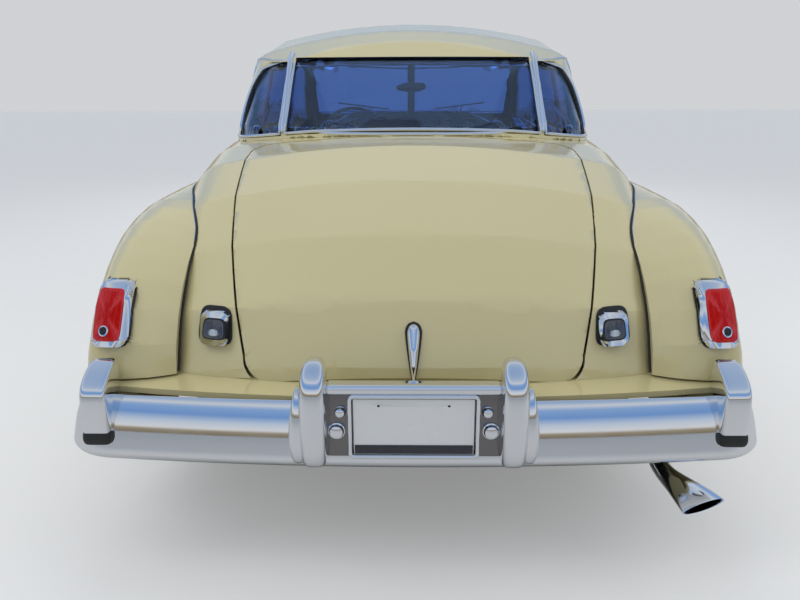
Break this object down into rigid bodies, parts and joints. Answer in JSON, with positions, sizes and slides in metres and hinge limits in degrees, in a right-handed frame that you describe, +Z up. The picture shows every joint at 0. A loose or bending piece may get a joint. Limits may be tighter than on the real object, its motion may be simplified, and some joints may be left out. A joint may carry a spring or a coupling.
{
  "type": "1950s two-door hardtop car",
  "caption": "Full-size two-door hardtop car with a wraparound rear window, rounded wings, opening doors, bonnet and boot lid, and linked steering.",
  "frame": {"origin": "on the floor, at the middle of the car's length and width", "axes": "+Z is up, the front of the car faces -Y, and the driver's side (left) is +X"},
  "size_m": [1.9146, 5.278, 1.6016],
  "materials": {
    "body_paint": "gloss cream enamel",
    "bright_metal": "polished chrome plate",
    "pipe_steel": "heat-dulled steel",
    "plate": "plain white enamel",
    "tinted_glass": "blue-tinted safety glass",
    "lamp_glass": "fluted clear lens",
    "red_lens": "moulded red lens",
    "bench_leather": "dark blue pleated hide",
    "dash_paint": "semi-gloss dark enamel",
    "wheel_rim_plastic": "moulded ivory plastic",
    "floor_paint": "matt underbody paint",
    "frame_paint": "black chassis enamel",
    "engine_iron": "painted iron casting",
    "axle_iron": "black-painted forging",
    "wheel_paint": "cream disc with bright cap",
    "tyre": "black rubber with pale side wall"
  },
  "bodies": {
    "car": {"rear_body": "body_paint", "roof": "body_paint", "cowl": "body_paint", "sills": "body_paint", "rear_wing_left": "body_paint", "rear_wing_right": "body_paint", "front_wing_left": "body_paint", "front_wing_right": "body_paint", "nose_panel": "body_paint", "rear_apron": "body_paint", "grille": "bright_metal", "front_bumper": "bright_metal", "rear_bumper": "bright_metal", "exhaust": "pipe_steel", "number_plate": "plate", "fixed_glass": "tinted_glass", "front_lamps": "lamp_glass", "rear_lamps": "red_lens", "front_bench": "bench_leather", "rear_bench": "bench_leather", "dashboard": "dash_paint", "floor_pan": "floor_paint", "chassis_frame": "frame_paint", "engine": "engine_iron", "fuel_tank": "frame_paint", "rear_axle": "axle_iron", "front_suspension": "axle_iron"},
    "bonnet": {"bonnet": "body_paint"},
    "boot_lid": {"boot_lid": "body_paint"},
    "track_rod": {"track_rod": "axle_iron"},
    "steering_wheel": {"steering_wheel": "wheel_rim_plastic"},
    "door_left": {"door_left": "body_paint", "door_glass_left": "tinted_glass"},
    "knuckle_left": {"knuckle_left": "axle_iron"},
    "door_right": {"door_right": "body_paint", "door_glass_right": "tinted_glass"},
    "knuckle_right": {"knuckle_right": "axle_iron"},
    "wheel_front_left": {"wheel_front_left": "wheel_paint", "tyre_front_left": "tyre"},
    "wheel_front_right": {"wheel_front_right": "wheel_paint", "tyre_front_right": "tyre"},
    "wheel_rear_left": {"wheel_rear_left": "wheel_paint", "tyre_rear_left": "tyre"},
    "wheel_rear_right": {"wheel_rear_right": "wheel_paint", "tyre_rear_right": "tyre"}
  },
  "joints": [
    {"name": "door_left_hinge", "type": "hinge", "parent": "car", "child": "door_left", "pos_m": [0.893, -0.853, 0.7], "axis": [0, 0, -1], "range_deg": [0, 65]},
    {"name": "steer_left", "type": "hinge", "parent": "car", "child": "knuckle_left", "pos_m": [0.59, -1.785, 0.365], "axis": [0, 0, 1], "range_deg": [-30, 30]},
    {"name": "spin_front_left", "type": "hinge", "parent": "knuckle_left", "child": "wheel_front_left", "pos_m": [0.715, -1.785, 0.365], "axis": [1, 0, 0], "continuous": true},
    {"name": "spin_rear_left", "type": "hinge", "parent": "car", "child": "wheel_rear_left", "pos_m": [0.757, 1.403, 0.365], "axis": [1, 0, 0], "continuous": true},
    {"name": "door_right_hinge", "type": "hinge", "parent": "car", "child": "door_right", "pos_m": [-0.893, -0.853, 0.7], "axis": [0, 0, 1], "range_deg": [0, 65]},
    {"name": "steer_right", "type": "hinge", "parent": "car", "child": "knuckle_right", "pos_m": [-0.59, -1.785, 0.365], "axis": [0, 0, 1], "range_deg": [-30, 30]},
    {"name": "spin_front_right", "type": "hinge", "parent": "knuckle_right", "child": "wheel_front_right", "pos_m": [-0.715, -1.785, 0.365], "axis": [1, 0, 0], "continuous": true},
    {"name": "spin_rear_right", "type": "hinge", "parent": "car", "child": "wheel_rear_right", "pos_m": [-0.757, 1.403, 0.365], "axis": [1, 0, 0], "continuous": true},
    {"name": "track_rod_swing", "type": "hinge", "parent": "knuckle_left", "child": "track_rod", "pos_m": [0.59, -1.635, 0.196], "axis": [0, 0, 1], "range_deg": [-30, 30]},
    {"name": "steering_wheel_turn", "type": "hinge", "parent": "car", "child": "steering_wheel", "pos_m": [0.372, -0.43, 0.985], "axis": [0, 0.8829, 0.4695], "range_deg": [-540, 540]},
    {"name": "bonnet_hinge", "type": "hinge", "parent": "car", "child": "bonnet", "pos_m": [0, -1.013, 1.102], "axis": [-1, 0, 0], "range_deg": [0, 42]},
    {"name": "boot_lid_hinge", "type": "hinge", "parent": "car", "child": "boot_lid", "pos_m": [0, 1.4545, 1.121], "axis": [1, 0, 0], "range_deg": [0, 50]}
  ],
  "couplings": [
    {"joint": "steer_right", "follows": "steer_left", "ratio": 1},
    {"joint": "track_rod_swing", "follows": "steer_left", "ratio": -1},
    {"joint": "steering_wheel_turn", "follows": "steer_left", "ratio": 18}
  ]
}
